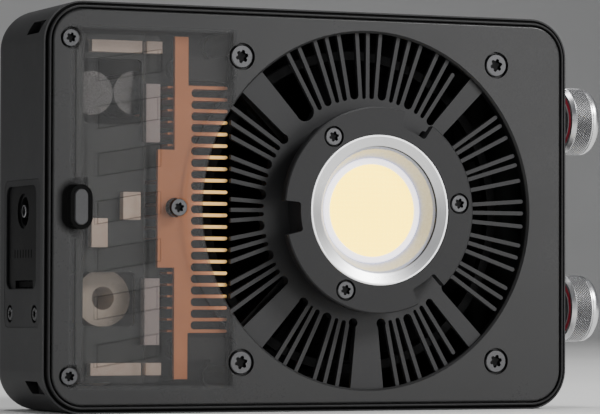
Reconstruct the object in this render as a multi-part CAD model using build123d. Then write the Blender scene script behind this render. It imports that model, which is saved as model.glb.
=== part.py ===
from build123d import *
import os
from math import sin, cos, radians, sqrt, pi

os.makedirs("parts", exist_ok=True)

# Compact COB LED light with a bayonet front.
# Device frame used while modelling: X right, Y back, Z up, the front cover's outer face at Y = 0,
# the body's middle at X = Z = 0. Every solid is moved by OFF at the end, which puts the origin at
# the bottom centre of the whole object's box.

# ---- driving dimensions, mm ----
HX, HZ = 56.4, 39.75            # half width and half height of the body
DEPTH = 33.5                    # front cover's face to the back of the rear cover
R_CORNER = 8.0
REAR_FILLET = 7.6
WALL = 1.8
RIM_D = 1.6                     # depth of the front bead and the gasket beside it
BEAD = 0.85                     # how far the bead's outside is inside the body's outline
LIP = 0.3                       # the side walls' front lip outside the gasket
SHELL_Y = 0.7                   # where the side walls start
LEDGE_Y = 3.2                   # back of the ledge that the cover sits on
SPLIT_Y = 24.6                  # where the side walls end and the rear cover starts
COVER_X, COVER_Z, COVER_R = 54.75, 38.15, 6.3
COVER_T = 2.0
LIP_T = 1.0                     # cover thickness round its opening
CX, CZ = 11.87, 0.1             # axis of the lamp, the grille and the fan
OPEN_R = 35.5                   # opening in the front cover
GRILLE_Y, GRILLE_T = 1.05, 2.4
HUB_R = 22.3
FACE_Y = -5.3                   # front face of the bayonet plate
BAY_R, NECK_R, BAY_T = 20.5, 17.1, 2.0
RING_R, RING_IN = 15.0, 12.6
NOTCHES = (65.0, 185.0, 304.0)
NOTCH_HALF = 9.5
BAY_SCREWS = (5.0, 125.0, 245.0)
BAY_SCREW_R = 17.5
COB_R, DAM_R = 9.2, 10.4
BIG_SCREWS = ((-15.6, 30.0), (-15.6, -30.0), (40.2, 30.0), (40.2, -30.0))
SMALL_SCREWS = ((-51.1, 32.5), (-51.1, -32.5))
MID_SCREW = (-28.7, 0.2)
REAR_SCREWS = ((-45.5, 29.0), (-45.5, -29.0), (45.5, 29.0), (45.5, -29.0))
BTN_X, BTN_W, BTN_H = -48.8, 2.8, 7.0
BTN_TRAVEL = 1.5
DIAL_Y = 11.0
DIAL_ZS = (19.6, -19.25)
DIAL_IN, DIAL_END, DIAL_R = 60.1, 66.9, 7.0
SHAFT_R = 2.9
DIAL_PRESS = 0.5
JACK_Y, JACK_Z, JACK_R, JACK_PIN_R = 14.0, -0.6, 2.85, 1.25
POCKET = 0.5                    # depth of the side recess
COMB_Y, COMB_T, TEETH, TOOTH, PITCH = 2.6, 1.0, 22, 0.65, 2.271
FAN_R, FAN_Y0, FAN_Y1 = 30.0, 9.4, 18.0
PIN_R_OUT = 0.06                # running clearance

OFF = (-(DIAL_END - HX) / 2, -(DEPTH + FACE_Y) / 2, HZ)

made = {}


def put(name, *solids):
    shapes = []
    for s in solids:
        shapes += list(s.solids())
    shapes = [s.moved(Location(OFF)) for s in shapes]
    made[name] = shapes
    export_step(shapes[0] if len(shapes) == 1 else Compound(children=shapes), f"parts/{name}.step")


def slab(sk, y0, y1):
    """Extrudes a sketch drawn as (x, z) from depth y0 back to depth y1."""
    return extrude(Plane(origin=(0, y0, 0), x_dir=(1, 0, 0), z_dir=(0, -1, 0)) * sk, amount=-(y1 - y0))


def rr(w, h, r, x=0.0, z=0.0):
    return Pos(x, z) * RectangleRounded(w, h, r)


def cy(x, z, r, y0, y1):
    return Location((x, (y0 + y1) / 2, z), (90, 0, 0)) * Cylinder(r, y1 - y0)


def cxx(y, z, r, x0, x1):
    return Location(((x0 + x1) / 2, y, z), (0, 90, 0)) * Cylinder(r, x1 - x0)


def box(x0, x1, y0, y1, z0, z1):
    return Pos((x0 + x1) / 2, (y0 + y1) / 2, (z0 + z1) / 2) * Box(x1 - x0, y1 - y0, z1 - z0)


def turned_y(points, x=CX, z=CZ):
    """Turns an (r, y) outline about the Y direction through (x, z)."""
    return Pos(x, 0, z) * revolve(make_face(Polyline(*points, close=True)), axis=Axis.Y)


def turned_x(points, y, z):
    """Turns an (x, r) outline about the X direction through (y, z)."""
    return Pos(0, y, z) * revolve(make_face(Polyline(*points, close=True)), axis=Axis.X)


def polar(r, a, x=CX, z=CZ):
    return (x + r * cos(radians(a)), z + r * sin(radians(a)))


def poly(*pts):
    return make_face(Polyline(*pts, close=True))


def torx(x, z, r, y0, head, shaft_r, length):
    """A six-lobe screw along Y with its head's face at y0, pointing back."""
    s = cy(x, z, r, y0, y0 + head) + cy(x, z, shaft_r, y0 + head - 0.01, y0 + head + length)
    s = chamfer(s.faces().sort_by(Axis.Y)[0].outer_wire().edges(), 0.18 if r > 1.7 else 0.12)
    lobes = Circle(0.42 * r)
    for k in range(6):
        lobes += Pos(*polar(0.42 * r, 60 * k + 15, 0, 0)) * Circle(0.16 * r)
    return s - slab(Pos(x, z) * lobes, y0 - 0.1, y0 + min(0.55 * r, head - 0.25))


# ---- housing ----
outer = rr(2 * HX, 2 * HZ, R_CORNER)
seat = rr(2 * COVER_X + 0.6, 2 * COVER_Z + 0.6, COVER_R + 0.3)
bead_out = rr(2 * (HX - BEAD), 2 * (HZ - BEAD), R_CORNER - BEAD)
gasket_out = rr(2 * (HX - LIP), 2 * (HZ - LIP), R_CORNER - LIP)
frame = slab(bead_out, 0, RIM_D) - slab(seat, -1, 5)
frame = fillet(frame.faces().sort_by(Axis.Y)[0].edges(), 0.2)
put("front_frame", frame)
put("frame_gasket", slab(gasket_out, 0.95, RIM_D) - slab(bead_out, 0, 5))

shell = slab(outer, SHELL_Y, SPLIT_Y)
shell -= slab(rr(2 * (HX - WALL), 2 * (HZ - WALL), R_CORNER - WALL), LEDGE_Y, SPLIT_Y + 1)
shell -= slab(rr(2 * 52.8, 2 * 36.2, 4.5), 0, LEDGE_Y + 1)
shell -= slab(seat, 0, COVER_T)
shell -= slab(gasket_out, 0, RIM_D)
for sx, sz in SMALL_SCREWS:
    s = 1 if sz > 0 else -1
    shell += box(-HX + 1, -48.9, COVER_T, 12.0, min(s * (abs(sz) - 2.2), s * (HZ - 1)), max(s * (abs(sz) - 2.2), s * (HZ - 1)))
for sx, sz in REAR_SCREWS:
    s, t = (1 if sz > 0 else -1), (1 if sx > 0 else -1)
    shell += box(min(t * 42.5, t * (HX - 1)), max(t * 42.5, t * (HX - 1)), 21.9, SPLIT_Y,
                 min(s * 26.0, s * (HZ - 1)), max(s * 26.0, s * (HZ - 1)))
shell = shell & slab(outer, SHELL_Y, SPLIT_Y)
shell -= slab(gasket_out, 0, RIM_D)
for sx, sz in REAR_SCREWS + SMALL_SCREWS:
    shell -= cy(sx, sz, 1.15, 0, 30)
# window for the side interface plate, and slanted corner slots on the same wall
PL_Y0, PL_Y1, PL_Z0, PL_Z1 = 2.3, 23.9, -23.3, 5.5


def side(sk, x0, x1):
    """Extrudes a sketch drawn as (y, z) from x0 to x1."""
    return extrude(Plane(origin=(x0, 0, 0), x_dir=(0, 1, 0), z_dir=(1, 0, 0)) * sk, amount=x1 - x0)


def side_rr(y0, y1, z0, z1, r, x0, x1):
    return side(Pos((y0 + y1) / 2, (z0 + z1) / 2) * RectangleRounded(y1 - y0, z1 - z0, r), x0, x1)


PLATE_T = 1.15
shell -= side_rr(PL_Y0, PL_Y1, PL_Z0, PL_Z1, 2.0, -HX - 1, -HX + PLATE_T)
shell -= side_rr(3.8, 23.3, -22.5, 4.9, 1.5, -HX + PLATE_T - 0.1, -HX + WALL + 1)
slot_up = poly((4.5, 33.6), (11.5, 33.6), (10.0, 36.0), (2.4, 36.0))
for m in (1, -1):
    sk = slot_up if m == 1 else mirror(slot_up, about=Plane.XZ)
    shell -= side(sk, -HX - 1, -HX + 2.6)
# exhaust slots through the top and bottom walls
for k in range(11):
    x = -8.0 + 4.2 * k
    for z0, z1 in ((HZ - WALL - 1, HZ + 1), (-HZ - 1, -HZ + WALL + 1)):
        if z0 < 0 and abs(x - 0.4) < 7.5:
            continue
        shell -= extrude(Plane.XY.offset(z0) * Pos(x, 14.5) * SlotOverall(11.0, 1.8, rotation=90), amount=z1 - z0)
for dz in DIAL_ZS:
    shell -= cxx(DIAL_Y, dz, 4.2, HX - WALL - 1, HX + 1)
TRI_X = 0.4
shell += Pos(TRI_X, 14.1, -HZ + 2.2) * Cylinder(6.6, 4.4)
shell -= Pos(TRI_X, 14.1, -HZ + 4.0) * Cylinder(4.6, 12.0)
put("main_shell", shell)

insert = Pos(TRI_X, 14.1, -HZ + 3.3) * Cylinder(4.55, 6.6) - Pos(TRI_X, 14.1, -HZ + 3.3) * Cylinder(3.175, 8.0)
put("tripod_insert", insert)

rear = slab(outer, SPLIT_Y, DEPTH)
rear = fillet(rear.faces().sort_by(Axis.Y)[-1].edges(), REAR_FILLET)
cavity = slab(rr(2 * (HX - WALL), 2 * (HZ - WALL), R_CORNER - WALL), SPLIT_Y - 1, DEPTH - WALL)
cavity = fillet(cavity.faces().sort_by(Axis.Y)[-1].edges(), REAR_FILLET - WALL)
rear -= cavity
for sx, sz in REAR_SCREWS:
    rear += cy(sx, sz, 3.2, SPLIT_Y + 0.4, DEPTH - WALL + 0.1)
    rear -= cy(sx, sz, 1.15, 20, 40)
    rear -= cy(sx, sz, 2.4, DEPTH - 1.9, 40)
for k in range(13):
    z = -26.4 + 4.4 * k
    half = sqrt(max(27.5 ** 2 - z * z, 4.0))
    if half > 4:
        rear -= slab(Pos(CX, CZ + z) * SlotOverall(2 * half, 2.2), DEPTH - WALL - 1, DEPTH + 1)
DX, DZ, DW, DH = -38.0, 12.0, 22.0, 14.0
rear -= slab(rr(DW, DH, 1.5, DX, DZ), DEPTH - 1.0, DEPTH + 1)
rear -= slab(rr(DW - 3, DH - 3, 1.0, DX, DZ), DEPTH - WALL - 1, DEPTH + 1)
PB_X, PB_Z, PB_R = -38.0, -9.0, 4.0
rear -= cy(PB_X, PB_Z, PB_R + 0.12, DEPTH - WALL - 1, DEPTH + 1)
put("rear_cover", rear)
put("rear_screws", *[Location((x, DEPTH - 0.5, z), (0, 0, 180)) * torx(0, 0, 2.2, 0, 1.4, 1.1, 8.3)
                     for x, z in REAR_SCREWS])

# ---- front cover ----
cover = slab(rr(2 * COVER_X, 2 * COVER_Z, COVER_R), 0, COVER_T)
cover = fillet(cover.faces().sort_by(Axis.Y)[0].edges(), 0.35)
cover -= cy(CX, CZ, OPEN_R, -1, 5)
cover -= cy(CX, CZ, 38.6, LIP_T, 5) & slab(rr(2 * COVER_X - 2.0, 2 * COVER_Z - 1.6, COVER_R - 1), 0, 5)
cover -= turned_y([(OPEN_R - 1, -0.5), (OPEN_R + 0.9, -0.5), (OPEN_R, 0.42), (OPEN_R - 1, 0.42)])
for x, z in BIG_SCREWS:
    cover -= cy(x, z, 2.7, -1, 0.95) + cy(x, z, 1.4, -1, 5)
for x, z in SMALL_SCREWS:
    cover -= cy(x, z, 2.15, -1, 0.95) + cy(x, z, 1.3, -1, 5)
cover -= cy(MID_SCREW[0], MID_SCREW[1], 2.0, -1, 0.95) + cy(MID_SCREW[0], MID_SCREW[1], 1.15, -1, 5)
cover -= slab(Pos(BTN_X, 0) * SlotOverall(BTN_H + 1.7, BTN_W + 1.7, rotation=90), -1, 5)
# plain engraved slanted bars on the left field
for k in range(7):
    z = -27.6 + 9.2 * k
    bar = poly((-45.6, z - 3.4), (-32.4, z - 1.2), (-32.4, z + 3.4), (-45.6, z + 1.2))
    inner = poly((-45.35, z - 3.06), (-32.65, z - 0.94), (-32.65, z + 3.06), (-45.35, z + 0.94))
    cover -= slab(bar - inner, -0.1, 0.14)
# stiffening ribs on the back of the left field
for x in (-47.4, -34.6):
    cover += box(x - 0.4, x + 0.4, COVER_T - 0.01, COVER_T + 1.1, -34.0, 34.0)
cover -= slab(Pos(BTN_X, 0) * SlotOverall(BTN_H + 1.7, BTN_W + 1.7, rotation=90), -1, 5)
cover -= slab(Pos(BTN_X, 0) * SlotOverall(9.7, 6.5, rotation=90), COVER_T, 5)
cover = cover - cy(-51.1, 32.5, 3.6, COVER_T, 5) - cy(-51.1, -32.5, 3.6, COVER_T, 5)
cover += cy(MID_SCREW[0], MID_SCREW[1], 1.8, COVER_T - 0.01, 7.2) - cy(MID_SCREW[0], MID_SCREW[1], 1.15, 0, 6.6)
put("front_cover", cover)
put("cover_screws_large", *[torx(x, z, 2.3, 0.0, 0.95, 1.1, 2.5) for x, z in BIG_SCREWS])
put("cover_screws_small", *[torx(x, z, 1.7, 0.0, 0.95, 1.0, 5.0) for x, z in SMALL_SCREWS + (MID_SCREW,)])

# ---- grille ----
GEND = GRILLE_Y + GRILLE_T
SLATS = (3.9, 11.0, 16.4, 19.6, 26.2, 30.7, 34.0, 55.6, 59.7, 63.9, 70.4, 74.7, 78.8, 85.3, 89.8, 93.7, 100.2,
         104.6, 108.8, 114.8, 119.2, 145.6, 150.0, 154.2, 160.9, 165.0, 169.3, 176.3, 180.4, 184.5, 191.3, 195.4,
         199.5, 206.5, 210.3, 214.6, 236.4, 239.8, 244.3, 251.3, 255.1, 259.5, 281.1, 285.2, 289.5, 296.0, 299.8,
         304.2, 325.6, 330.1, 333.8, 340.6, 344.8, 349.0, 355.5, 359.9)
SPOKES = ((46.6, 3.0, 3.8), (134.8, 4.3, 5.9), (225.7, 4.1, 5.8), (270.1, 4.6, 7.3), (312.8, 2.9, 3.6))
SLAT_W = 0.8
SLAT_BACK = 2.05                # back of the slats and spokes, thinner than the hub and the rim
FREE = lambda a: a < 34.5 or a > 325.0
ROUT = 36.0
bars = [(a, SLAT_W, SLAT_W) for a in SLATS] + [(a, w0, w1) for a, w0, w1 in SPOKES]
bars.sort()


def bar_edge(a, w0, w1, r, sign):
    """A point on a bar's edge at radius r along its axis."""
    w = w0 + (w1 - w0) * (r - 22.0) / 14.0
    u = (cos(radians(a)), sin(radians(a)))
    n = (-u[1], u[0])
    return (CX + u[0] * r + sign * n[0] * w / 2, CZ + u[1] * r + sign * n[1] * w / 2)


plate = slab(rr(72.0, 72.0, 4.0, 16.6, 0), COVER_T + 0.05, GEND)
plate += cy(CX, CZ, 37.6, GRILLE_Y, GEND) & box(-60, 60, 0, 9, -36.0, 36.0)
plate &= box(-17.5, 52.6, -5, 20, -38.5, 38.5)
gaps = []
for k, b in enumerate(bars):
    nxt = bars[(k + 1) % len(bars)]
    span = (nxt[0] - b[0]) % 360
    # inner end: a half circle that meets both edges
    rc = 22.6
    for _ in range(12):
        p, q = bar_edge(*b, rc, 1), bar_edge(*nxt, rc, -1)
        w = sqrt((p[0] - q[0]) ** 2 + (p[1] - q[1]) ** 2)
        rc = 22.35 + w / 2 - (0.35 if w > 2 else 0)
    mid = b[0] + span / 2
    tip = polar(rc - w / 2, mid)
    pts = [p, bar_edge(*b, ROUT, 1)]
    pts += [bar_edge(*nxt, ROUT, -1), q]
    gaps.append(slab(make_face([Polyline(*pts), ThreePointArc(q, tip, p)]), 0, 6))
grille = plate - gaps
# slats with free rounded outer ends on the right, and the arc beyond them
for a in SLATS:
    if FREE(a):
        end = 35.0
    elif abs(a - 55.6) < 0.1:
        end = 34.0
    elif abs(a - 304.2) < 0.1:
        end = 34.6
    else:
        continue
    u = (cos(radians(a)), sin(radians(a)))
    cut = slab(Pos(*polar((end - 0.4 + ROUT) / 2, a)) * Rot(0, 0, a) * Rectangle(ROUT - end + 0.4, SLAT_W + 0.1), 0, 6)
    grille = grille - cut + cy(*polar(end - 0.4, a), SLAT_W / 2, GRILLE_Y, SLAT_BACK)
grille -= cy(CX, CZ, ROUT, SLAT_BACK, GEND + 0.5) - cy(CX, CZ, 22.6, 0, 9)
grille -= cy(CX, CZ, 15.15, -1, 9)
LOCK_A = 51.0                   # the bayonet lock's pin, under the flange beside the first notch
lock_loc = Pos(*polar(19.0, LOCK_A)) * Rot(0, 0, LOCK_A)
grille -= slab(lock_loc * RectangleRounded(3.1, 1.5, 0.5), -1, 9)
for x, z in BIG_SCREWS:
    grille -= cy(x, z, 1.15, 0, 9)
for a in BAY_SCREWS:
    grille -= cy(*polar(BAY_SCREW_R, a), 1.05, 0, 9)
LUGS = ((39.2, 27.4), (39.2, -27.2), (-14.0, 33.2), (-14.0, -33.0))
for x, z in LUGS:
    grille += cy(x, z, 2.2, GEND - 0.01, 18.4) - cy(x, z, 1.0, 10, 20)
put("vent_grille", grille)

# ---- bayonet ----


def sector(r0, r1, a0, a1, y0, y1, n=8):
    pts = [polar(r1, a0 + (a1 - a0) * k / n) for k in range(n + 1)]
    pts += [polar(r0, a1 - (a1 - a0) * k / n) for k in range(n + 1)]
    return slab(poly(*pts), y0, y1)


bay = cy(CX, CZ, BAY_R, FACE_Y, FACE_Y + BAY_T)
bay = chamfer(bay.faces().sort_by(Axis.Y)[0].edges(), 0.25)
for a in NOTCHES:
    cutter = sector(NECK_R, BAY_R + 1.0, a - NOTCH_HALF, a + NOTCH_HALF, FACE_Y - 1, FACE_Y + BAY_T + 1)
    ins = [e for e in cutter.edges().filter_by(Axis.Y)
           if (e.center().X - CX) ** 2 + (e.center().Z - CZ) ** 2 < (NECK_R + 0.3) ** 2]
    ends = [e for e in ins if min(abs(sqrt((e.center().X - polar(NECK_R, t)[0]) ** 2 + (e.center().Z - polar(NECK_R, t)[1]) ** 2))
                                  for t in (a - NOTCH_HALF, a + NOTCH_HALF)) < 0.05]
    cutter = fillet(ends, 0.6)
    bay -= cutter
bay += cy(CX, CZ, NECK_R, FACE_Y + 0.5, GRILLE_Y)
for a in BAY_SCREWS:
    bay += cy(*polar(17.45, a), 2.3, FACE_Y + BAY_T - 0.1, GRILLE_Y)
bay -= cy(CX, CZ, RING_R + 0.03, -9, 5)
for a in BAY_SCREWS:
    x, z = polar(BAY_SCREW_R, a)
    bay -= cy(x, z, 2.1, FACE_Y - 1, FACE_Y + 0.9)
    bay -= cy(x, z, 1.05, FACE_Y - 1, 5)
put("bayonet_plate", bay)
put("bayonet_screws", *[torx(*polar(BAY_SCREW_R, a), 1.8, FACE_Y, 0.9, 1.0, 11.7) for a in BAY_SCREWS])
put("lock_pin", slab(lock_loc * RectangleRounded(2.8, 1.2, 0.35), -1.0, 3.4))

# ---- lamp ----
put("reflector_ring", turned_y([(RING_R, FACE_Y + 0.12), (RING_R - 0.15, FACE_Y), (RING_R - 0.45, FACE_Y), (RING_IN, -4.72),
                                (RING_IN, -4.3), (13.75, -4.3), (13.75, 0.2), (RING_R, 0.2)]))
put("cob_holder", turned_y([(RING_IN + 0.05, -4.25), (13.7, -4.25), (13.7, -0.95), (DAM_R + 0.06, -0.95),
                            (DAM_R + 0.06, -1.25), (12.15, -4.0)]))
put("cob_board", slab(rr(22.0, 22.0, 5.0, CX, CZ), -0.9, 0.1))
put("cob_dam", turned_y([(COB_R, -0.9), (COB_R, -1.35), (COB_R + 0.2, -1.5), (DAM_R - 0.2, -1.5), (DAM_R, -1.35), (DAM_R, -0.9)]))
put("cob_phosphor", cy(CX, CZ, COB_R, -1.36, -0.9))
put("thermal_pad", slab(rr(20.0, 20.0, 4.0, CX, CZ), 0.1, 0.3))
put("led_base_plate", cy(CX, CZ, 14.2, 0.3, 3.6))
PIPE_Y0, PIPE_Y1, PIPE_W = 3.6, 5.8, 4.4
clamp = cy(CX, CZ, 19.5, PIPE_Y1, 7.4)
for a in BAY_SCREWS:
    clamp -= cy(*polar(BAY_SCREW_R, a), 1.05, 0, 9)
put("pipe_clamp_plate", clamp)


def run(p, q, w):
    dx, dz = q[0] - p[0], q[1] - p[1]
    L = sqrt(dx * dx + dz * dz)
    from math import atan2, degrees
    return Pos((p[0] + q[0]) / 2, (p[1] + q[1]) / 2) * Rot(0, 0, degrees(atan2(dz, dx))) * SlotCenterToCenter(L, w)


pipes = []
for m in (1, -1):
    pts = [(19.0, 3.4 * m), (7.6, 3.4 * m), (-16.0, 27.3 * m), (-27.4, 27.3 * m)]
    sk = run(pts[0], pts[1], PIPE_W) + run(pts[1], pts[2], PIPE_W) + run(pts[2], pts[3], PIPE_W)
    pipes.append(slab(sk, PIPE_Y0, PIPE_Y1))
put("heat_pipes", *pipes)

# ---- copper comb and fins ----
comb_sk = Pos(-27.3, 0.2) * Rectangle(2.8, 66.9)
comb_sk += Pos(-29.05, 0) * Rectangle(6.3, 23.0)
tooth_z = [23.8 - PITCH * k for k in range(TEETH)]
for z in tooth_z:
    comb_sk += Pos(-21.65, z) * SlotOverall(8.1, TOOTH)
GAP = PITCH - TOOTH
roots = Pos(-25.45, (tooth_z[0] + tooth_z[-1]) / 2) * Rectangle(1.3, tooth_z[0] - tooth_z[-1] + TOOTH)
for z in tooth_z[:-1]:
    roots -= Pos(-24.8 + 0.35, z - PITCH / 2) * Circle(GAP / 2)
comb_sk += roots
comb_sk -= Pos(*MID_SCREW) * Circle(1.9)
put("copper_comb", slab(comb_sk, COMB_Y, COMB_Y + COMB_T))
fin = poly((-29.8, 3.6), (-17.7, 3.6), (-17.7, 7.4), (-20.6, 8.2), (-20.6, 22.0), (-29.8, 22.0))
bosscut = cy(MID_SCREW[0], MID_SCREW[1], 2.0, 0, 7.4)
fins = []
for z in tooth_z:
    f = extrude(Plane.XY.offset(z - 0.2) * fin, amount=0.4)
    if abs(z) < 2.6:
        f = f - bosscut
    fins.append(f)
put("fin_stack", *fins)
# ---- fan ----
fframe = cy(CX, CZ, 32.4, 8.6, 10.6) - cy(CX, CZ, 30.6, 8.0, 11.0)
fframe += cy(CX, CZ, 32.4, 19.2, 20.4)
for k in range(20):
    fframe += slab(Pos(*polar(31.5, 18 * k + 4)) * Rot(0, 0, 18 * k + 4 + 35) * Rectangle(1.7, 0.8), 10.5, 19.3)
for x, z in LUGS:
    r = sqrt((x - CX) ** 2 + (z - CZ) ** 2)
    foot = (CX + (x - CX) * 32.0 / r, CZ + (z - CZ) * 32.0 / r)
    fframe += slab(run(foot, (x, z), 5.0), 18.4, 20.4) - cy(CX, CZ, 31.0, 0, 30)
for x, z in LUGS:
    fframe -= cy(x, z, 1.15, 10, 30)
fframe -= cy(CX, CZ, 4.02, 10, 30)
put("fan_frame", fframe)
put("fan_screws", *[cy(x, z, 0.95, 12.0, 20.5) + cy(x, z, 1.9, 20.4, 21.5) for x, z in LUGS])
stator = cy(CX, CZ, 4.9, 11.2, 19.15) + cy(CX, CZ, 4.0, 19.1, 20.4)
for k in range(9):
    a = 40 * k
    stator += slab(Pos(*polar(7.2, a)) * Rot(0, 0, a) * Rectangle(6.0, 1.6), 13.0, 18.0)
    stator += sector(9.0, 10.6, a - 15, a + 15, 13.0, 18.0, 4)
stator -= cy(CX, CZ, 3.55, 11.0, 21.0)
put("fan_stator", stator)
bear = []
for y0 in (11.6, 17.6):
    bear.append(cy(CX, CZ, 3.5, y0, y0 + 2.2) - cy(CX, CZ, 1.56, y0 - 1, y0 + 4))
put("fan_bearings", *bear)
put("fan_shaft", cy(CX, CZ, 1.5, FAN_Y0 + 0.4, 20.0))
rotor = cy(CX, CZ, 13.0, FAN_Y0, 18.2) - cy(CX, CZ, 11.4, FAN_Y0 + 1.2, 19)
rotor += cy(CX, CZ, 2.6, FAN_Y0 + 0.2, FAN_Y0 + 1.7)
rotor = fillet(rotor.faces().sort_by(Axis.Y)[0].outer_wire().edges(), 0.8)
blades = []
for k in range(11):
    b = Pos(21.5, 0, 0) * Rot(38, 0, 0) * Box(19.0, 1.1, 11.0)
    b = b & (Location((0, 0, 0), (90, 0, 0)) * Cylinder(FAN_R, 40))
    b = Pos(CX, (FAN_Y0 + 18.0) / 2, CZ) * Rot(0, 360 / 11 * k, 0) * b
    blades.append(b & box(-50, 80, FAN_Y0 + 0.1, 18.0, -60, 60))
for b in blades:
    rotor += b
rotor -= cy(CX, CZ, 1.5, 0, FAN_Y0 + 8)
put("fan_rotor", rotor)

# ---- electronics ----
put("power_board", slab(rr(22.0, 70.0, 1.0, -41.7, 0), 20.0, 21.6))
led_board = slab(rr(17.4, 68.0, 1.0, -38.9, 0), 6.6, 7.6)
led_board -= box(-33.4, -17, 0, 12, -6, 6) + box(-60, -45.2, 0, 12, -6, 6)
led_board -= slab(rr(12.0, 12.8, 0.8, -40.2, 22.8) + rr(10.8, 10.6, 0.8, -40.8, -17.7), 0, 12)
put("led_board", led_board)
bars_ = []
for x0, x1 in ((-45.2, -34.8), (-33.8, -30.6)):
    for z0, z1 in ((30.4, 32.7), (-32.5, -30.1)):
        bars_.append(box(x0, x1, 4.6, 6.6, z0, z1))
put("led_board_parts", *bars_, box(-33.9, -31.0, 4.6, 6.6, 13.0, 24.4), box(-34.2, -31.0, 4.6, 6.6, -26.6, -13.6),
    box(-45.1, -41.8, 4.6, 6.6, -7.6, -2.0), box(-38.6, -35.0, 4.6, 6.6, -2.2, 3.2))
put("capacitors", *[cy(x, z, 4.3, 9.0, 20.0) for x, z in ((-43.6, 22.6), (-46.8, 13.0), (-34.8, 22.8))])
put("inductors", *[cy(x, z, 5.6, 10.0, 20.0) - cy(x, z, 2.3, 9.0, 19.0) for x, z in ((-40.8, -17.5), (-41.5, -29.0), (-36.4, 10.3))])
ctrl = box(49.5, 51.0, 6.0, 21.5, -30.0, 30.0)
for dz in DIAL_ZS:
    ctrl -= cxx(DIAL_Y, dz, 1.5, 40, 60)
put("control_board", ctrl)

# ---- dials: knob and shaft turn on a plunger that presses in ----
enc, bush = [], []
for z, name in zip(DIAL_ZS, ("upper", "lower")):
    e = box(51.0, 54.2, DIAL_Y - 5.0, DIAL_Y + 5.5, z - 5.5, z + 5.5) - cxx(DIAL_Y, z, 3.05, 51.7, 60)
    enc.append(e - cxx(DIAL_Y, z, 1.28, 50, 60))
    bush.append(turned_x([(54.4, SHAFT_R + PIN_R_OUT), (57.1, SHAFT_R + PIN_R_OUT), (57.1, 4.6), (56.8, 4.9), (56.42, 4.9),
                          (56.42, 4.15), (54.4, 4.15)], DIAL_Y, z))
    put(f"dial_plunger_{name}", cxx(DIAL_Y, z, 1.2, 50.4, 52.5))
    put(f"dial_shaft_{name}", cxx(DIAL_Y, z, SHAFT_R, 52.5, 61.2))
    put(f"dial_knob_{name}", turned_x([
        (60.7, SHAFT_R), (60.25, 3.1), (60.25, 4.5), (60.8, 4.5), (60.8, 5.8), (60.1, 5.8), (60.1, 6.35),
        (61.0, 6.87), (61.05, DIAL_R), (64.5, DIAL_R), (64.6, 6.7), (64.85, 6.7), (64.95, 6.85), (65.4, 6.85),
        (66.2, 6.45), (DIAL_END - 0.1, 5.6), (DIAL_END, 5.3), (DIAL_END, 0.0), (61.2, 0.0), (61.2, SHAFT_R)], DIAL_Y, z))
    put(f"dial_ring_{name}", turned_x([(60.14, 4.5), (60.8, 4.5), (60.8, 5.8), (60.14, 5.8)], DIAL_Y, z))
put("encoder_bodies", *enc)
put("dial_bushings", *bush)

# ---- release button, latch and side interface ----
pill = lambda w, h: Pos(BTN_X, 0) * SlotOverall(h, w, rotation=90)
guide = slab(pill(BTN_W + 1.6, BTN_H + 1.6), 0.2, 8.2) + slab(pill(6.1, 9.2), COVER_T + 0.05, 8.2) - slab(pill(BTN_W + 0.24, BTN_H + 0.24), -1, 7.9)
put("release_guide", guide)
btn = slab(pill(BTN_W, BTN_H), 0, 4.2)
btn = chamfer(btn.faces().sort_by(Axis.Y)[0].edges(), 0.2)
put("release_button", btn)


def coil(r, wire, pitch, height):
    return sweep(Plane(origin=(r, 0, 0), x_dir=(1, 0, 0), z_dir=(0, 1, 0)) * Circle(wire),
                 path=Helix(pitch, height, r))


put("release_spring", Location((BTN_X, 5.85, 0), (-90, 0, 0)) * coil(0.95, 0.15, 0.6, 1.8))
iface = side_rr(PL_Y0 + 0.05, PL_Y1 - 0.05, PL_Z0 + 0.05, PL_Z1 - 0.05, 1.95, -HX + 0.03, -HX + PLATE_T)
iface += side_rr(3.85, 23.25, -22.45, 4.85, 1.45, -HX + PLATE_T - 0.01, -53.4)
iface -= side_rr(4.8, 22.8, -15.8, 4.3, 2.0, -HX - 1, -HX + POCKET)
iface -= side_rr(8.0, 18.5, -15.6, -14.1, 0.3, -57, -50)
iface -= cxx(JACK_Y, JACK_Z, 4.25, -60, -50)
iface += cxx(JACK_Y, JACK_Z, 4.25, -HX + POCKET, -HX + POCKET + 0.5) - cxx(JACK_Y, JACK_Z, 3.4, -60, -50)
for y in (5.7, 20.5):
    iface -= cxx(y, -20.6, 1.75, -60, -HX + 0.85) + cxx(y, -20.6, 0.85, -60, -50)
put("interface_plate", iface)
put("interface_screws", *[Location((-HX + 0.05, y, -20.6), (0, 0, -90)) * torx(0, 0, 1.3, 0, 0.8, 0.8, 2.2)
                          for y in (5.7, 20.5)])
jack = cxx(JACK_Y, JACK_Z, 4.2, -HX + POCKET + 0.5, -45.6) - cxx(JACK_Y, JACK_Z, JACK_R, -60, -46.6)
put("dc_jack", jack)
dpin = cxx(JACK_Y, JACK_Z, JACK_PIN_R, -55.8, -46.6) - cxx(JACK_Y, JACK_Z, 0.95, -56, -50)
dpin = fillet(dpin.faces().sort_by(Axis.X)[0].outer_wire().edges(), 0.1)
put("dc_pin", dpin)
latch = side_rr(8.15, 18.35, -15.45, -14.25, 0.2, -55.3, -51.2)
latch += side_rr(8.15, 18.35, -17.2, -12.5, 0.5, -52.0, -50.8)
put("side_latch", latch)
put("latch_spring", Location((-49.1, 13.2, -14.85), (0, 90, 0)) * coil(1.0, 0.16, 0.7, 2.1))

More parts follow.
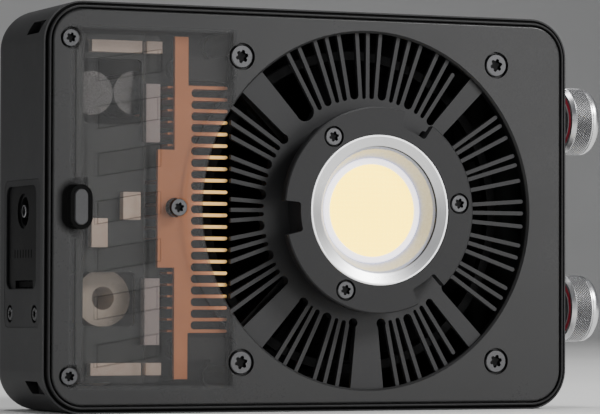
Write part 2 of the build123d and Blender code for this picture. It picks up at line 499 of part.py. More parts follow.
# ---- rear display and power button ----
put("rear_board", box(-50.0, -26.0, 27.3, 28.9, -16.0, 20.0) + box(PB_X - 3.0, PB_X + 3.0, 28.85, 30.0, PB_Z - 3.0, PB_Z + 3.0))
put("display_panel", box(DX - 10.5, DX + 10.5, 28.9, DEPTH - WALL, DZ - 6.6, DZ + 6.6))
put("display_window", slab(rr(DW - 0.2, DH - 0.2, 1.4, DX, DZ), DEPTH - 1.0, DEPTH - 0.1))
pbtn = cy(PB_X, PB_Z, PB_R, 30.7, DEPTH - 0.1) + cy(PB_X, PB_Z, 4.9, 30.7, 31.5)
pbtn = fillet(pbtn.faces().sort_by(Axis.Y)[-1].edges(), 0.3)
put("power_button", pbtn)
print(len(made), "nodes")
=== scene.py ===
import bpy, bmesh, math, random
from math import sin, cos, pi, radians, sqrt, tan, atan2
from mathutils import Vector, Matrix


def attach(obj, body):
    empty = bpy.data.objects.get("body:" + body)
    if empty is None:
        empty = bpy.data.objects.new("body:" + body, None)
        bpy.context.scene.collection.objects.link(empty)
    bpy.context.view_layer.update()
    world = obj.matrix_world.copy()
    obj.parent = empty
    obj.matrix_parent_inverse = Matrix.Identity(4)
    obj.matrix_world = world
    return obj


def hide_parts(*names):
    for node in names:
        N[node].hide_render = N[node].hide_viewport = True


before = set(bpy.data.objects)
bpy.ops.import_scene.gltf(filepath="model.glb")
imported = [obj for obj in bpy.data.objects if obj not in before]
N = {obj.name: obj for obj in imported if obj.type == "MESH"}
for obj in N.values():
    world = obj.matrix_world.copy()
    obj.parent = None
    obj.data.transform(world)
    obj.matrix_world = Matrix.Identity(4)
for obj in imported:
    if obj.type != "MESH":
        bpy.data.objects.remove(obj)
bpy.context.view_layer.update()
sc = bpy.context.scene
random.seed(7)

MM = 0.001
OX, OY, OZ = -5.25, -14.1, 39.75          # device frame (front cover's face at Y 0, body's middle) to row frame, mm
CX, CZ = 11.87, 0.1                       # lamp axis in the device frame


def P(x, y, z):
    """A point of the device frame, in mm, as a point of the row frame, in metres."""
    return Vector(((x + OX) * MM, (y + OY) * MM, (z + OZ) * MM))


# ------------------------------------------------------------------ materials
def new_mat(name):
    m = bpy.data.materials.new(name)
    m.use_nodes = True
    nt = m.node_tree
    nt.nodes.clear()
    out = nt.nodes.new("ShaderNodeOutputMaterial")
    p = nt.nodes.new("ShaderNodeBsdfPrincipled")
    nt.links.new(p.outputs[0], out.inputs[0])
    return m, nt, p, out


def node(nt, kind, **inputs):
    n = nt.nodes.new(kind)
    for k, v in inputs.items():
        if k.startswith("_"):
            setattr(n, k[1:], v)
        else:
            n.inputs[k.replace("_", " ")].default_value = v
    return n


def coords(nt, scale=(1, 1, 1), rot=(0, 0, 0), loc=(0, 0, 0)):
    tc = nt.nodes.new("ShaderNodeTexCoord")
    mp = nt.nodes.new("ShaderNodeMapping")
    mp.inputs["Scale"].default_value = scale
    mp.inputs["Rotation"].default_value = rot
    mp.inputs["Location"].default_value = loc
    nt.links.new(tc.outputs["Object"], mp.inputs[0])
    return mp.outputs[0]


def noise(nt, vec, scale, detail=3.0, rough=0.5):
    n = node(nt, "ShaderNodeTexNoise", Scale=scale, Detail=detail, Roughness=rough)
    nt.links.new(vec, n.inputs["Vector"])
    return n.outputs["Fac"]


def remap(nt, fac, a, b, lo=0.3, hi=0.7):
    n = node(nt, "ShaderNodeMapRange")
    n.inputs["From Min"].default_value = lo
    n.inputs["From Max"].default_value = hi
    n.inputs["To Min"].default_value = a
    n.inputs["To Max"].default_value = b
    nt.links.new(fac, n.inputs["Value"])
    return n.outputs["Result"]


def mixc(nt, fac, a, b):
    n = nt.nodes.new("ShaderNodeMix")
    n.data_type = "RGBA"
    if isinstance(fac, float):
        n.inputs["Factor"].default_value = fac
    else:
        nt.links.new(fac, n.inputs["Factor"])
    for sock, v in ((n.inputs["A"], a), (n.inputs["B"], b)):
        if hasattr(v, "links"):
            nt.links.new(v, sock)
        else:
            sock.default_value = (*v, 1.0)
    return n.outputs["Result"]


def math_(nt, op, a, b=None):
    n = nt.nodes.new("ShaderNodeMath")
    n.operation = op
    for i, v in enumerate((a, b)):
        if v is None:
            continue
        if hasattr(v, "links"):
            nt.links.new(v, n.inputs[i])
        else:
            n.inputs[i].default_value = v
    return n.outputs[0]


def bump(nt, p, height, strength=0.2, dist=0.0001):
    b = node(nt, "ShaderNodeBump", Strength=strength, Distance=dist)
    nt.links.new(height, b.inputs["Height"])
    nt.links.new(b.outputs[0], p.inputs["Normal"])
    return b


def plastic(name, col, rough=0.55, grain=4200.0, depth=0.00004, spread=0.18, coat=0.0, spec=0.5, rough_spread=0.10, fleck=0.35):
    """Moulded plastic: spark-eroded grain, a little cloudiness in tone and gloss."""
    m, nt, p, out = new_mat(name)
    v = coords(nt)
    cloud = noise(nt, v, 55.0, 4.0, 0.55)
    fine = noise(nt, v, grain * 0.6, 2.0, 0.6)
    c1 = tuple(c * (1 - spread) for c in col)
    c2 = tuple(min(1, c * (1 + spread)) for c in col)
    base = mixc(nt, remap(nt, cloud, 0.0, 1.0, 0.35, 0.65), c1, c2)
    base = mixc(nt, remap(nt, fine, 0.0, fleck), base, tuple(min(1, c * 1.5 + 0.004) for c in col))
    nt.links.new(base, p.inputs["Base Color"])
    nt.links.new(remap(nt, cloud, rough - rough_spread / 2, rough + rough_spread / 2), p.inputs["Roughness"])
    vor = node(nt, "ShaderNodeTexVoronoi", Scale=grain)
    nt.links.new(v, vor.inputs["Vector"])
    h = math_(nt, "ADD", math_(nt, "MULTIPLY", vor.outputs["Distance"], 0.7), math_(nt, "MULTIPLY", fine, 0.5))
    bump(nt, p, h, 0.35, depth)
    p.inputs["Specular IOR Level"].default_value = spec
    if coat:
        p.inputs["Coat Weight"].default_value = coat
        p.inputs["Coat Roughness"].default_value = 0.25
    return m


def metal(name, col, rough=0.25, streak=None, centre=None, axis="Y", grain=0.15, depth=0.00002, tone=0.08):
    """Metal with turning marks round an axis (centre given), brushing (streak scale) or fine blasting."""
    m, nt, p, out = new_mat(name)
    p.inputs["Metallic"].default_value = 1.0
    v = coords(nt)
    cloud = noise(nt, v, 120.0, 3.0)
    if centre is not None:
        c = P(*centre)
        sep = nt.nodes.new("ShaderNodeSeparateXYZ")
        sub = nt.nodes.new("ShaderNodeVectorMath")
        sub.operation = "SUBTRACT"
        sub.inputs[1].default_value = c
        nt.links.new(v, sub.inputs[0])
        nt.links.new(sub.outputs[0], sep.inputs[0])
        a, b = {"Y": ("X", "Z"), "X": ("Y", "Z"), "Z": ("X", "Y")}[axis]
        r2 = math_(nt, "ADD", math_(nt, "MULTIPLY", sep.outputs[a], sep.outputs[a]), math_(nt, "MULTIPLY", sep.outputs[b], sep.outputs[b]))
        r = math_(nt, "SQRT", r2)
        comb = nt.nodes.new("ShaderNodeCombineXYZ")
        nt.links.new(r, comb.inputs[0])
        nt.links.new(math_(nt, "MULTIPLY", sep.outputs[axis], 1.0), comb.inputs[1])
        fine = noise(nt, comb.outputs[0], 9000.0, 2.0, 0.7)
    elif streak is not None:
        fine = noise(nt, coords(nt, streak), 1.0, 3.0, 0.6)
    else:
        fine = noise(nt, v, 7000.0, 2.0, 0.6)
    lo = tuple(c * (1 - tone) for c in col)
    hi = tuple(min(1, c * (1 + tone)) for c in col)
    base = mixc(nt, remap(nt, fine, 0, 1), lo, hi)
    base = mixc(nt, remap(nt, cloud, 0, 0.35), base, tuple(c * 0.85 for c in col))
    nt.links.new(base, p.inputs["Base Color"])
    nt.links.new(remap(nt, math_(nt, "ADD", math_(nt, "MULTIPLY", fine, 0.6), math_(nt, "MULTIPLY", cloud, 0.4)), max(0.03, rough - grain / 2), rough + grain / 2), p.inputs["Roughness"])
    bump(nt, p, fine, 0.25, depth)
    return m


M = {}
M["shell"] = plastic("shell_black_m", (0.0135, 0.0135, 0.0145), 0.55, 3600.0, 0.00005, spec=0.4)
M["rim"] = plastic("rim_black_m", (0.0150, 0.0150, 0.0155), 0.5, 3600.0, 0.00002, spec=0.22)
M["gasket"] = plastic("gasket_m", (0.0015, 0.0015, 0.0015), 0.7, 5000.0, 0.00003, spec=0.08)
M["grille"] = plastic("grille_m", (0.0205, 0.0205, 0.0215), 0.5, 3800.0, 0.00002, spec=0.35, fleck=0.15)
M["bayonet"] = plastic("bayonet_m", (0.0120, 0.0120, 0.0128), 0.50, 5200.0, 0.00002, spec=0.35, fleck=0.2)
M["button"] = plastic("button_m", (0.036, 0.036, 0.038), 0.5, 4200.0, 0.00003)
M["interface"] = plastic("interface_m", (0.0095, 0.0095, 0.0105), 0.55, 3600.0, 0.00005, spec=0.3)
M["black"] = plastic("black_m", (0.0035, 0.0035, 0.004), 0.5, 4500.0, 0.00003, spec=0.3)
M["fan"] = plastic("fan_m", (0.0022, 0.0022, 0.0026), 0.5, 1500.0, 0.00003, spec=0.12)
M["pcb"] = plastic("pcb_m", (0.012, 0.016, 0.014), 0.35, 900.0, 0.00003, spread=0.35)
M["beige"] = plastic("beige_m", (0.80, 0.60, 0.48), 0.45, 1800.0, 0.00003, spread=0.08)
M["cup"] = plastic("cup_m", (0.51, 0.54, 0.67), 0.34, 3000.0, 0.00001, spread=0.03)
M["white_board"] = plastic("white_board_m", (0.80, 0.80, 0.79), 0.4, 2500.0, 0.00001, spread=0.03)
M["dam"] = plastic("dam_m", (0.95, 0.93, 0.97), 0.28, 1200.0, 0.00001, spread=0.02)
# painted glow: the dam emits light of its own, standing in for the phosphor's light scattered in it
M["dam"].node_tree.nodes["Principled BSDF"].inputs["Emission Color"].default_value = (1.0, 0.93, 1.0, 1)
M["dam"].node_tree.nodes["Principled BSDF"].inputs["Emission Strength"].default_value = 1.8
M["ferrite"] = plastic("ferrite_m", (0.62, 0.52, 0.42), 0.42, 2000.0, 0.00006, spread=0.12)
M["pad"] = plastic("pad_m", (0.30, 0.32, 0.35), 0.6, 1500.0, 0.00004, spread=0.2)
# near-black standing in for shade: the heat pipes and their clamp plate are coloured this dark so that they read as
# the shade behind the grille's gaps
M["blackox"] = plastic("blackox_m", (0.006, 0.005, 0.005), 0.5, 3000.0, 0.000008, spread=0.3, spec=0.3, fleck=0.1)
M["screw"] = metal("screw_m", (0.17, 0.17, 0.175), 0.34, tone=0.12)


def screw_mat(name, axis, face, sign):
    """Plated screw steel with painted shade below the head's face, darkening into the recess; face in device mm along
    the axis, sign towards the inside.
    """
    mat_ = metal(name, (0.088, 0.088, 0.091), 0.36, tone=0.12)
    nt_ = mat_.node_tree
    p_ = [q for q in nt_.nodes if q.type == "BSDF_PRINCIPLED"][0]
    tc = nt_.nodes.new("ShaderNodeTexCoord")
    sp = nt_.nodes.new("ShaderNodeSeparateXYZ")
    nt_.links.new(tc.outputs["Object"], sp.inputs[0])
    o_ = {"X": OX, "Y": OY, "Z": OZ}[axis]
    depth = math_(nt_, "MULTIPLY", math_(nt_, "SUBTRACT", sp.outputs[axis], (face + o_) * MM), 1000.0 * sign)
    shade = remap(nt_, depth, 0.0, 0.94, 0.16, 0.40)
    src = p_.inputs["Base Color"].links[0].from_socket
    nt_.links.new(mixc(nt_, shade, src, (0.004, 0.004, 0.004)), p_.inputs["Base Color"])
    return mat_


M["screw_cover"] = screw_mat("screw_cover_m", "Y", 0.0, 1.0)
M["screw_bay"] = screw_mat("screw_bay_m", "Y", -5.3, 1.0)
M["screw_rear"] = screw_mat("screw_rear_m", "Y", 33.0, -1.0)
M["screw_side"] = screw_mat("screw_side_m", "X", -56.35, 1.0)
M["silver"] = metal("silver_m", (0.90, 0.90, 0.905), 0.30, centre=(CX, 0, CZ), axis="Y", grain=0.08, tone=0.03)
M["copper"] = metal("copper_m", (0.76, 0.29, 0.120), 0.40, tone=0.06)
M["copper"].node_tree.nodes["Principled BSDF"].inputs["Metallic"].default_value = 0.40
M["copper"].node_tree.nodes["Principled BSDF"].inputs["Specular IOR Level"].default_value = 0.3
# painted highlight: copper within about 35 mm of the lamp axis, in the open vent, is coloured bright gold for the
# direct warm light on it
nt_ = M["copper"].node_tree
p_ = [q for q in nt_.nodes if q.type == "BSDF_PRINCIPLED"][0]
tc = nt_.nodes.new("ShaderNodeTexCoord")
sp = nt_.nodes.new("ShaderNodeSeparateXYZ")
nt_.links.new(tc.outputs["Object"], sp.inputs[0])
dx = math_(nt_, "SUBTRACT", math_(nt_, "MULTIPLY", sp.outputs["X"], 1000.0), CX + OX)
dz = math_(nt_, "SUBTRACT", math_(nt_, "MULTIPLY", sp.outputs["Z"], 1000.0), CZ + OZ)
ra = math_(nt_, "SQRT", math_(nt_, "ADD", math_(nt_, "MULTIPLY", dx, dx), math_(nt_, "MULTIPLY", dz, dz)))
src = p_.inputs["Base Color"].links[0].from_socket
nt_.links.new(mixc(nt_, remap(nt_, ra, 1.0, 0.0, 34.4, 35.4), src, (1.0, 0.60, 0.20)), p_.inputs["Base Color"])

# painted shadow: a dark line on the bright ring's inner edge where it meets the cup, strongest on the right side
nt_ = M["silver"].node_tree
p_ = [q for q in nt_.nodes if q.type == "BSDF_PRINCIPLED"][0]
tc = nt_.nodes.new("ShaderNodeTexCoord")
sp = nt_.nodes.new("ShaderNodeSeparateXYZ")
nt_.links.new(tc.outputs["Object"], sp.inputs[0])
dx = math_(nt_, "SUBTRACT", math_(nt_, "MULTIPLY", sp.outputs["X"], 1000.0), CX + OX)
dz = math_(nt_, "SUBTRACT", math_(nt_, "MULTIPLY", sp.outputs["Z"], 1000.0), CZ + OZ)
ra = math_(nt_, "SQRT", math_(nt_, "ADD", math_(nt_, "MULTIPLY", dx, dx), math_(nt_, "MULTIPLY", dz, dz)))
shadow_side = remap(nt_, math_(nt_, "ADD", dx, math_(nt_, "MULTIPLY", dz, 0.3)), 0.0, 1.0, -3.0, 5.0)
src = p_.inputs["Base Color"].links[0].from_socket
nt_.links.new(mixc(nt_, math_(nt_, "MULTIPLY", shadow_side, remap(nt_, ra, 1.0, 0.0, 12.68, 12.78)), src, (0.02, 0.02, 0.02)), p_.inputs["Base Color"])

# the blocks on the board differ in tone: the top pair light, the tall ones by the comb darker
nt_ = M["beige"].node_tree
p_ = [q for q in nt_.nodes if q.type == "BSDF_PRINCIPLED"][0]
tc = nt_.nodes.new("ShaderNodeTexCoord")
sp = nt_.nodes.new("ShaderNodeSeparateXYZ")
nt_.links.new(tc.outputs["Object"], sp.inputs[0])
bx = math_(nt_, "SUBTRACT", math_(nt_, "MULTIPLY", sp.outputs["X"], 1000.0), OX - 34.4)
bz = math_(nt_, "SUBTRACT", math_(nt_, "MULTIPLY", sp.outputs["Z"], 1000.0), OZ)
tall = math_(nt_, "MULTIPLY", remap(nt_, bx, 0.0, 1.0, -0.05, 0.05), remap(nt_, math_(nt_, "ABSOLUTE", bz), 1.0, 0.0, 28.0, 28.5))
src = p_.inputs["Base Color"].links[0].from_socket
col = mixc(nt_, tall, src, (0.50, 0.42, 0.40))
nt_.links.new(mixc(nt_, remap(nt_, bz, 0.0, 1.0, 29.0, 29.5), col, (1.0, 0.80, 0.67)), p_.inputs["Base Color"])
M["steel"] = metal("steel_m", (0.62, 0.62, 0.63), 0.28)
M["can"] = metal("can_m", (0.125, 0.122, 0.120), 0.26)
M["nickel"] = metal("nickel_m", (0.34, 0.34, 0.35), 0.3)
M["brass"] = metal("brass_m", (0.72, 0.54, 0.27), 0.30)
M["winding"] = metal("winding_m", (0.62, 0.26, 0.12), 0.32, streak=(300, 9000, 9000))
M["knob"] = metal("knob_m", (0.74, 0.74, 0.75), 0.38, tone=0.05)


def by_radius(key, zs, r_lo, r_hi, dark):
    """Mixes a dial's colour towards another by the distance from the nearer dial's axis: on the knob, painted shade in
    the bottoms of its knurling; on the red ring, its light inner edge.
    """
    nt_ = M[key].node_tree
    p_ = [q for q in nt_.nodes if q.type == "BSDF_PRINCIPLED"][0]
    tc = nt_.nodes.new("ShaderNodeTexCoord")
    sp = nt_.nodes.new("ShaderNodeSeparateXYZ")
    nt_.links.new(tc.outputs["Object"], sp.inputs[0])
    dy = math_(nt_, "SUBTRACT", math_(nt_, "MULTIPLY", sp.outputs["Y"], 1000.0), 11.0 + OY)
    zz = math_(nt_, "MULTIPLY", sp.outputs["Z"], 1000.0)
    rad = []
    for z in zs:
        dz = math_(nt_, "SUBTRACT", zz, z + OZ)
        rad.append(math_(nt_, "SQRT", math_(nt_, "ADD", math_(nt_, "MULTIPLY", dy, dy), math_(nt_, "MULTIPLY", dz, dz))))
    r = math_(nt_, "MINIMUM", *rad)
    src = p_.inputs["Base Color"].links[0].from_socket
    nt_.links.new(mixc(nt_, remap(nt_, r, 1.0, 0.0, r_lo, r_hi), src, dark), p_.inputs["Base Color"])


# painted shade in the bottoms of the knurling
by_radius("knob", (19.6, -19.25), 6.79, 6.93, (0.085, 0.085, 0.087))
M["red"] = metal("red_m", (1.0, 0.055, 0.12), 0.40, tone=0.10)
M["red"].node_tree.nodes["Principled BSDF"].inputs["Metallic"].default_value = 0.0
by_radius("red", (19.6, -19.25), 4.80, 4.90, (1.0, 1.0, 1.0))
mat_ = M["interface"]
nt_ = mat_.node_tree
p_ = [q for q in nt_.nodes if q.type == "BSDF_PRINCIPLED"][0]
tc = nt_.nodes.new("ShaderNodeTexCoord")
sp = nt_.nodes.new("ShaderNodeSeparateXYZ")
nt_.links.new(tc.outputs["Object"], sp.inputs[0])
# painted shade: the plate darkens with depth into its recesses, from 0.12 to 0.40 mm below the face, and is less
# specular there
dp = math_(nt_, "SUBTRACT", math_(nt_, "MULTIPLY", sp.outputs["X"], 1000.0), OX - 56.37)
src = p_.inputs["Base Color"].links[0].from_socket
nt_.links.new(mixc(nt_, remap(nt_, dp, 0.0, 0.85, 0.12, 0.40), src, (0.0012, 0.0012, 0.0014)), p_.inputs["Base Color"])
yb = math_(nt_, "SUBTRACT", math_(nt_, "MULTIPLY", sp.outputs["Y"], 1000.0), OY + 13.9)
zb = math_(nt_, "ABSOLUTE", math_(nt_, "SUBTRACT", math_(nt_, "MULTIPLY", sp.outputs["Z"], 1000.0), OZ - 8.9))
ph = math_(nt_, "ABSOLUTE", math_(nt_, "SUBTRACT", math_(nt_, "MODULO", math_(nt_, "ADD", yb, 1.65 * 10.5), 1.65), 0.825))
bars = math_(nt_, "MULTIPLY", remap(nt_, ph, 1.0, 0.0, 0.26, 0.40), remap(nt_, zb, 1.0, 0.0, 0.72, 0.90))
bars = math_(nt_, "MULTIPLY", bars, remap(nt_, math_(nt_, "ABSOLUTE", yb), 1.0, 0.0, 5.5, 5.7))
bars = math_(nt_, "MULTIPLY", bars, remap(nt_, dp, 0.0, 1.0, 0.3, 0.5))
src = p_.inputs["Base Color"].links[0].from_socket
nt_.links.new(mixc(nt_, bars, src, (0.0002, 0.0002, 0.0002)), p_.inputs["Base Color"])
spec = math_(nt_, "SUBTRACT", remap(nt_, dp, 0.30, 0.14, 0.12, 0.40), math_(nt_, "MULTIPLY", bars, 0.13))
nt_.links.new(spec, p_.inputs["Specular IOR Level"])
M["dark_metal"] = plastic("dark_metal_m", (0.012, 0.012, 0.012), 0.35, 6000.0, 0.00001, spec=0.7)

# phosphor: lit, with the faint square pattern of the dies under it
m, nt, p, out = new_mat("phosphor_m")
v = coords(nt, (1000, 1000, 1000), (0, 0, radians(0)), (0, 0, 0))
sep = nt.nodes.new("ShaderNodeSeparateXYZ")
nt.links.new(v, sep.inputs[0])
gx = math_(nt, "SINE", math_(nt, "MULTIPLY", math_(nt, "ADD", sep.outputs["X"], sep.outputs["Z"]), 2 * pi / 1.9))
gz = math_(nt, "SINE", math_(nt, "MULTIPLY", math_(nt, "SUBTRACT", sep.outputs["X"], sep.outputs["Z"]), 2 * pi / 1.9))
g = remap(nt, math_(nt, "MULTIPLY", gx, gz), 0.0, 1.0, -0.6, 0.6)
cl = noise(nt, coords(nt), 160.0, 3.0)
colr = mixc(nt, g, (1.0, 0.66, 0.0), (1.0, 0.71, 0.012))
nt.links.new(colr, p.inputs["Base Color"])
nt.links.new(colr, p.inputs["Emission Color"])
p.inputs["Emission Strength"].default_value = 6.0
nt.links.new(remap(nt, cl, 0.3, 0.42), p.inputs["Roughness"])
bump(nt, p, cl, 0.15, 0.00005)
M["phosphor"] = m

# smoke-tinted clear plastic: frosted on the back, except in the plain slanted windows, which have a fine dark outline
m, nt, p, out = new_mat("smoke_m")
v = coords(nt)
cl = noise(nt, v, 45.0, 4.0, 0.6)
fine = noise(nt, v, 2600.0, 2.0, 0.6)
sep = nt.nodes.new("ShaderNodeSeparateXYZ")
nt.links.new(v, sep.inputs[0])
xd = math_(nt, "SUBTRACT", math_(nt, "MULTIPLY", sep.outputs["X"], 1000.0), OX - 39.0)
zd = math_(nt, "SUBTRACT", math_(nt, "MULTIPLY", sep.outputs["Z"], 1000.0), OZ)
wd = math_(nt, "SUBTRACT", zd, math_(nt, "MULTIPLY", xd, 2.2 / 13.2))
fr = math_(nt, "SUBTRACT", math_(nt, "MODULO", math_(nt, "ADD", wd, 27.6 + 4.6 + 92.0), 9.2), 4.6)
d1 = math_(nt, "SUBTRACT", 2.3, math_(nt, "ABSOLUTE", fr))
d2 = math_(nt, "SUBTRACT", 6.6, math_(nt, "ABSOLUTE", xd))
d3 = math_(nt, "SUBTRACT", 31.0, math_(nt, "ABSOLUTE", wd))
dd = math_(nt, "MINIMUM", math_(nt, "MINIMUM", d1, d2), d3)
clear = remap(nt, dd, 0.0, 1.0, 0.06, 0.12)
line = math_(nt, "MULTIPLY", remap(nt, dd, 0.0, 1.0, -0.02, 0.04), remap(nt, dd, 1.0, 0.0, 0.20, 0.26))
# painted shade: a near-black, nearly opaque patch on the cover around the release button, standing for the black guide
# behind it and the shade round it
gx = math_(nt, "ADD", xd, 48.8 - 39.0 + 1.6)
gz = math_(nt, "MAXIMUM", math_(nt, "SUBTRACT", math_(nt, "ABSOLUTE", zd), 1.9), 0.0)
gr = math_(nt, "SQRT", math_(nt, "ADD", math_(nt, "MULTIPLY", gx, gx), math_(nt, "MULTIPLY", gz, gz)))
guide = remap(nt, gr, 1.0, 0.0, 2.3, 3.8)
p.inputs["IOR"].default_value = 1.5
base = mixc(nt, remap(nt, cl, 0, 1), (0.096, 0.097, 0.098), (0.110, 0.111, 0.112))
xf = math_(nt, "SUBTRACT", xd, 39.0)
wx = math_(nt, "MINIMUM", math_(nt, "SUBTRACT", xf, -50.6), math_(nt, "SUBTRACT", -17.3, xf))
wz = math_(nt, "SUBTRACT", 34.5, math_(nt, "ABSOLUTE", zd))
solid = math_(nt, "MAXIMUM", remap(nt, wx, 1.0, 0.0, -0.9, 0.9), remap(nt, wz, 1.0, 0.0, -0.9, 0.7))
base = mixc(nt, solid, base, (0.0290, 0.0290, 0.0295))
base = mixc(nt, math_(nt, "MAXIMUM", math_(nt, "MULTIPLY", line, 0.8), guide), base, (0.0012, 0.0012, 0.0012))
nt.links.new(remap(nt, guide, 0.26, 0.02, 0.0, 1.0), p.inputs["Specular IOR Level"])
nt.links.new(base, p.inputs["Base Color"])
nt.links.new(remap(nt, math_(nt, "ADD", math_(nt, "MULTIPLY", cl, 0.7), math_(nt, "MULTIPLY", fine, 0.3)), 0.24, 0.34), p.inputs["Roughness"])
bump(nt, p, fine, 0.03, 0.000005)
tr = nt.nodes.new("ShaderNodeBsdfTransparent")
tr.inputs[0].default_value = (0.965, 0.955, 0.95, 1)
mx = nt.nodes.new("ShaderNodeMixShader")
fac = remap(nt, cl, 0.235, 0.255)
fac = math_(nt, "SUBTRACT", fac, math_(nt, "MULTIPLY", clear, 0.055))
fac = math_(nt, "MAXIMUM", fac, math_(nt, "MULTIPLY", line, 0.45))
fac = math_(nt, "MAXIMUM", fac, math_(nt, "MULTIPLY", guide, 0.92))
fac = math_(nt, "MAXIMUM", fac, math_(nt, "MULTIPLY", solid, 0.97))
nt.links.new(fac, mx.inputs[0])
nt.links.new(tr.outputs[0], mx.inputs[1])
nt.links.new(p.outputs[0], mx.inputs[2])
nt.links.new(mx.outputs[0], out.inputs[0])
M["smoke"] = m

# black display glass
m, nt, p, out = new_mat("window_m")
cl = noise(nt, coords(nt), 90.0, 3.0)
nt.links.new(mixc(nt, remap(nt, cl, 0, 1), (0.004, 0.004, 0.005), (0.009, 0.009, 0.011)), p.inputs["Base Color"])
nt.links.new(remap(nt, cl, 0.05, 0.12), p.inputs["Roughness"])
M["window"] = m


def setm(obj, key):
    obj.data.materials.clear()
    obj.data.materials.append(M[key])


USE = {
    "front_frame": "rim", "frame_gasket": "gasket", "main_shell": "shell", "rear_cover": "shell", "front_cover": "smoke",
    "cover_screws_large": "screw_cover", "cover_screws_small": "screw_cover", "rear_screws": "screw_rear", "tripod_insert": "brass",
    "vent_grille": "grille", "bayonet_plate": "bayonet", "bayonet_screws": "screw_bay", "lock_pin": "black",
    "reflector_ring": "silver", "cob_holder": "cup", "cob_board": "white_board", "cob_dam": "dam", "cob_phosphor": "phosphor",
    "thermal_pad": "pad", "led_base_plate": "copper", "pipe_clamp_plate": "blackox", "heat_pipes": "blackox",
    "copper_comb": "copper", "fin_stack": "copper", "fan_frame": "fan", "fan_screws": "screw", "fan_stator": "winding",
    "fan_bearings": "steel", "fan_shaft": "steel", "fan_rotor": "fan", "power_board": "pcb", "led_board": "pcb",
    "led_board_parts": "beige", "capacitors": "can", "inductors": "ferrite", "control_board": "pcb", "encoder_bodies": "dark_metal",
    "dial_bushings": "dark_metal", "dial_plunger_upper": "steel", "dial_plunger_lower": "steel", "dial_shaft_upper": "dark_metal",
    "dial_shaft_lower": "dark_metal", "dial_knob_upper": "knob", "dial_knob_lower": "knob", "dial_ring_upper": "red",
    "dial_ring_lower": "red", "release_guide": "gasket", "release_button": "button", "release_spring": "steel",
    "interface_plate": "interface", "interface_screws": "screw_side", "dc_jack": "black", "dc_pin": "nickel", "side_latch": "gasket",
    "latch_spring": "steel", "rear_board": "pcb", "display_panel": "window", "display_window": "window", "power_button": "button",
}
for n_, k_ in USE.items():
    setm(N[n_], k_)

# ------------------------------------------------------------------ knurled dials
M["polish"] = metal("knob_polish_m", (0.84, 0.84, 0.85), 0.30, grain=0.06, tone=0.03)


def mesh_obj(name, verts, faces, mats, index=None, smooth=True):
    me = bpy.data.meshes.new(name)
    me.from_pydata(verts, [], faces)
    for k in mats:
        me.materials.append(M[k])
    if index is not None:
        me.polygons.foreach_set("material_index", index)
    me.polygons.foreach_set("use_smooth", [smooth] * len(me.polygons))
    me.update()
    o = bpy.data.objects.new(name, me)
    sc.collection.objects.link(o)
    return o


def sharp_by_angle(o, deg=32):
    """Marks the edges between faces that meet at more than this angle as sharp."""
    bm = bmesh.new()
    bm.from_mesh(o.data)
    bmesh.ops.recalc_face_normals(bm, faces=bm.faces)
    for e in bm.edges:
        if len(e.link_faces) == 2 and e.calc_face_angle(0) > radians(deg):
            e.smooth = False
    bm.to_mesh(o.data)
    bm.free()


def knob(name, zc, node_name, body):
    """The dial's knob: turned ends and a band of diamond knurling made of flat-sided pyramids."""
    n_round, depth = 88, 0.22
    n = 2 * n_round
    x0, x1, rows = 61.08, 64.5, 12
    prof = [(61.2, 2.9, 0), (60.7, 2.9, 0), (60.25, 3.1, 0), (60.25, 4.44, 0), (60.3, 4.5, 0), (60.8, 4.5, 0), (60.8, 5.8, 0), (60.15, 5.8, 0), (60.1, 5.85, 0),
            (60.1, 6.3, 0), (60.14, 6.37, 0), (60.95, 6.83, 0)]
    prof += [(x0 + (x1 - x0) * k / rows, 7.0, k + 1) for k in range(rows + 1)]
    prof += [(64.56, 6.8, 0), (64.62, 6.7, 0), (64.84, 6.7, 0), (64.9, 6.76, 0), (64.96, 6.85, 0), (65.35, 6.85, 0), (65.6, 6.8, 0), (66.2, 6.45, 0),
             (66.7, 5.78, 0), (66.83, 5.5, 0), (66.9, 5.3, 0), (66.9, 1.5, 0)]
    verts, faces, index, flat = [], [], [], []
    for x, r, kn in prof:
        for i in range(n):
            a = 2 * pi * i / n
            rr = r - (depth if kn and (i + kn) % 2 else 0.0)
            verts.append(tuple(P(x, 11.0 + rr * cos(a), zc + rr * sin(a))))
    for j in range(len(prof) - 1):
        k1, k2 = prof[j][2], prof[j + 1][2]
        for i in range(n):
            k = (i + 1) % n
            a_, b_, c_, d_ = j * n + i, j * n + k, (j + 1) * n + k, (j + 1) * n + i
            if k1 and k2:
                if (i + k1) % 2:
                    faces += [(a_, b_, c_), (a_, c_, d_)]
                else:
                    faces += [(a_, b_, d_), (b_, c_, d_)]
                index += [0, 0]
                flat += [False, False]
            else:
                faces.append((a_, b_, c_, d_))
                index.append(1)
                flat.append(not (k1 or k2))
    c0, c1 = len(verts), len(verts) + 1
    verts.append(tuple(P(61.2, 11.0, zc)))
    verts.append(tuple(P(66.9, 11.0, zc)))
    last = (len(prof) - 1) * n
    for i in range(n):
        k = (i + 1) % n
        faces += [(c0, k, i), (c1, last + i, last + k)]
        index += [1, 1]
        flat += [True, True]
    o = mesh_obj(name, verts, faces, ["knob", "polish"], index)
    o.data.polygons.foreach_set("use_smooth", flat)
    sharp_by_angle(o, 28)
    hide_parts(node_name)
    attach(o, body)
    return o


knob("knob_upper_knurled", 19.6, "dial_knob_upper", "upper_dial")
knob("knob_lower_knurled", -19.25, "dial_knob_lower", "lower_dial")

# ------------------------------------------------------------------ floor, lights, camera


def staged(me, name, mat_):
    o = bpy.data.objects.new(name, me)
    sc.collection.objects.link(o)
    o.data.materials.append(mat_)
    return o


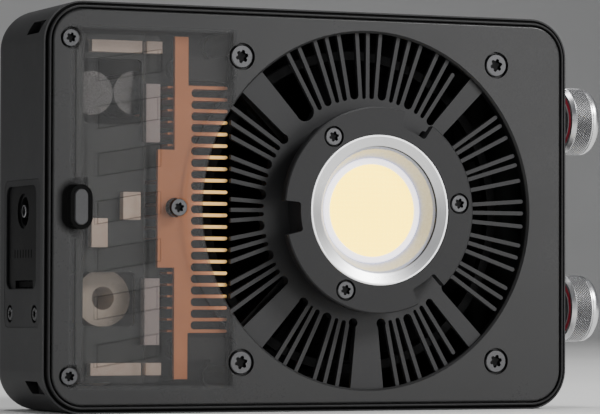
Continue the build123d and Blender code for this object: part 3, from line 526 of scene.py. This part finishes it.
m, nt, p, out = new_mat("floor_m")
cl = noise(nt, coords(nt), 6.0, 4.0)
nt.links.new(mixc(nt, remap(nt, cl, 0, 1), (0.70, 0.70, 0.69), (0.74, 0.74, 0.73)), p.inputs["Base Color"])
nt.links.new(remap(nt, cl, 0.75, 0.85), p.inputs["Roughness"])
bm = bmesh.new()
prof = [(-3.0, 0.0)]
prof += [(1.2, 0.0)]
for k in range(1, 13):
    a = k / 12 * pi / 2
    prof.append((1.2 + 0.8 * sin(a), 0.8 - 0.8 * cos(a)))
prof.append((2.0, 3.0))
rows = []
for x in (-4.0, 4.0):
    rows.append([bm.verts.new((x, y, z)) for y, z in prof])
for k in range(len(prof) - 1):
    bm.faces.new((rows[0][k], rows[1][k], rows[1][k + 1], rows[0][k + 1]))
me = bpy.data.meshes.new("floor")
bm.to_mesh(me); bm.free()
for f in me.polygons:
    f.use_smooth = True
staged(me, "floor", m)


def area(name, loc, target, size, power, col=(1, 1, 1)):
    l = bpy.data.lights.new(name, "AREA")
    l.shape = "RECTANGLE"
    l.size, l.size_y = size
    l.energy = power
    l.color = col
    o = bpy.data.objects.new(name, l)
    sc.collection.objects.link(o)
    o.location = loc
    d = Vector(target) - Vector(loc)
    o.rotation_euler = d.to_track_quat("-Z", "Y").to_euler()
    return o


area("key", (0.62, -0.70, 0.70), (0, 0, 0.04), (0.30, 0.30), 12.0)
area("card", (0.55, -1.00, 0.16), (0.01, 0, 0.04), (0.55, 0.50), 3.2)
area("front", (-0.36, -1.05, 0.30), (0, 0, 0.04), (0.30, 0.30), 0.35)
area("left", (-0.85, 0.0, 0.40), (0, 0, 0.04), (0.35, 0.4), 1.3)
area("top", (0.05, 0.1, 0.9), (0, 0, 0.04), (0.6, 0.4), 5.0)
w = bpy.data.worlds.new("w")
sc.world = w
w.use_nodes = True
w.node_tree.nodes["Background"].inputs[0].default_value = (0.92, 0.94, 1.0, 1)
w.node_tree.nodes["Background"].inputs[1].default_value = 0.12

yaw, pitch, roll = -0.409, 0.029, -0.003
cy_, sy_ = cos(yaw), sin(yaw); cp_, sp_ = cos(pitch), sin(pitch); cr_, sr_ = cos(roll), sin(roll)
Rz = Matrix(((cy_, -sy_, 0), (sy_, cy_, 0), (0, 0, 1)))
Rx = Matrix(((1, 0, 0), (0, cp_, -sp_), (0, sp_, cp_)))
Ry = Matrix(((cr_, 0, sr_), (0, 1, 0), (-sr_, 0, cr_)))
R = Rz @ Rx @ Ry
right, fwd, up = R.col[0], R.col[1], R.col[2]
cam = bpy.data.cameras.new("cam")
camo = bpy.data.objects.new("cam", cam)
sc.collection.objects.link(camo)
mw = Matrix.Identity(4)
for i in range(3):
    mw[i][0], mw[i][1], mw[i][2] = right[i], up[i], -fwd[i]
loc = P(-261.647, -596.389, -18.231)
for i in range(3):
    mw[i][3] = loc[i]
camo.matrix_world = mw
cam.sensor_width = 36.0
cam.lens = 197.576
cam.clip_start = 0.01
cam.clip_end = 20
sc.camera = camo
